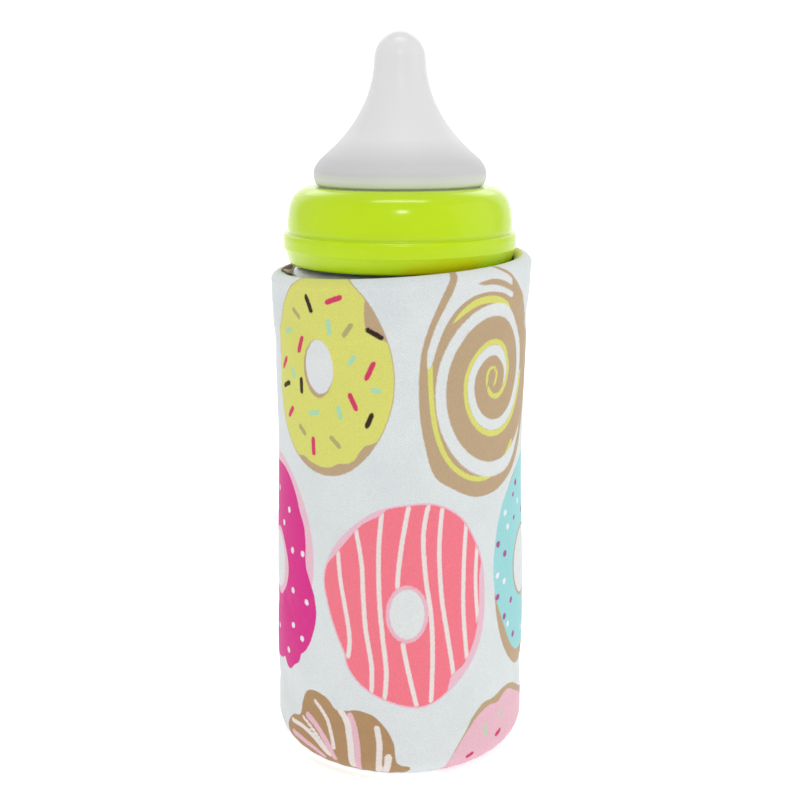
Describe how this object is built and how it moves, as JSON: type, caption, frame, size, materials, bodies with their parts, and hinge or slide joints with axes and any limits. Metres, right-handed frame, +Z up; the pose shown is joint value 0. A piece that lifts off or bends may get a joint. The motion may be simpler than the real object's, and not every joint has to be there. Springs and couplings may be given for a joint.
{
  "type": "bottle warmer",
  "caption": "Soft heated sleeve with a printed cotton cover, standing on a round base and holding a wide-neck feeding bottle with a screw collar and a teat.",
  "frame": {"origin": "centre of the sleeve's flat underside, on the bottle's axis", "axes": "+Z up along the bottle's axis to the teat; -Y is the front; +Y is the back with the closure and cord outlet; +X is to the right seen from the front"},
  "size_m": [0.0748, 0.0779, 0.2078],
  "materials": {
    "bottle_plastic": "slightly milky clear plastic, glossy",
    "collar_plastic": "lime green, glossy moulded plastic",
    "teat_silicone": "translucent pale silicone, satin",
    "printed_cotton": "white plain-weave cotton with a bold bakery print",
    "lining_cotton": "white brushed lining cloth",
    "wadding": "white polyester wadding",
    "foil": "thin crinkled aluminium foil",
    "film": "amber insulating film",
    "carbon_track": "black printed heating track",
    "terminal_brass": "plated crimp terminals",
    "device_black": "black moulded body",
    "heatshrink": "dark shrink sleeve",
    "fuse_metal": "tinned metal can",
    "lead_red": "red lead insulation",
    "lead_black": "black lead insulation",
    "eyelet_metal": "nickel-plated eyelet",
    "hook_tape": "white hook tape",
    "loop_tape": "white napped loop tape",
    "thread": "white sewing thread"
  },
  "bodies": {
    "sleeve": {"outer_cover": "printed_cotton", "outer_base": "printed_cotton", "rim_facing": "printed_cotton", "lining_wall": "lining_cotton", "lining_base": "lining_cotton", "wadding_wall": "wadding", "wadding_base": "wadding", "foil_reflector": "foil", "heater_film": "film", "heater_track": "carbon_track", "heater_terminals": "terminal_brass", "thermostat": "device_black", "thermostat_sleeve": "heatshrink", "thermal_fuse": "fuse_metal", "lead_supply": "lead_red", "lead_link": "lead_red", "lead_return": "lead_black", "lead_return_upper": "lead_black", "cord_eyelet": "eyelet_metal", "eyelet_washer": "eyelet_metal", "loop_strip": "loop_tape", "loop_stitching": "thread", "flap_seam": "thread"},
    "bottle": {"bottle": "bottle_plastic"},
    "teat": {"teat": "teat_silicone"},
    "collar": {"collar_ring": "collar_plastic"},
    "flap": {"closure_flap": "printed_cotton", "hook_strip": "hook_tape", "hook_stitching": "thread"}
  },
  "joints": [
    {"name": "bottle_lift", "type": "slide", "parent": "sleeve", "child": "bottle", "axis": [0, 0, 1], "range_m": [0, 0.15]},
    {"name": "teat_rise", "type": "slide", "parent": "bottle", "child": "teat", "axis": [0, 0, 1], "range_m": [0, 0.01]},
    {"name": "collar_turn", "type": "hinge", "parent": "teat", "child": "collar", "pos_m": [0, 0, 0.155], "axis": [0, 0, 1], "range_deg": [0, 722]},
    {"name": "flap_open", "type": "hinge", "parent": "sleeve", "child": "flap", "pos_m": [-0.0017, 0.03886, 0.078], "axis": [0, 0, 1], "range_deg": [0, 140]}
  ],
  "couplings": [
    {"joint": "collar_turn", "follows": "teat_rise", "rad_per_m": 1256.6}
  ]
}
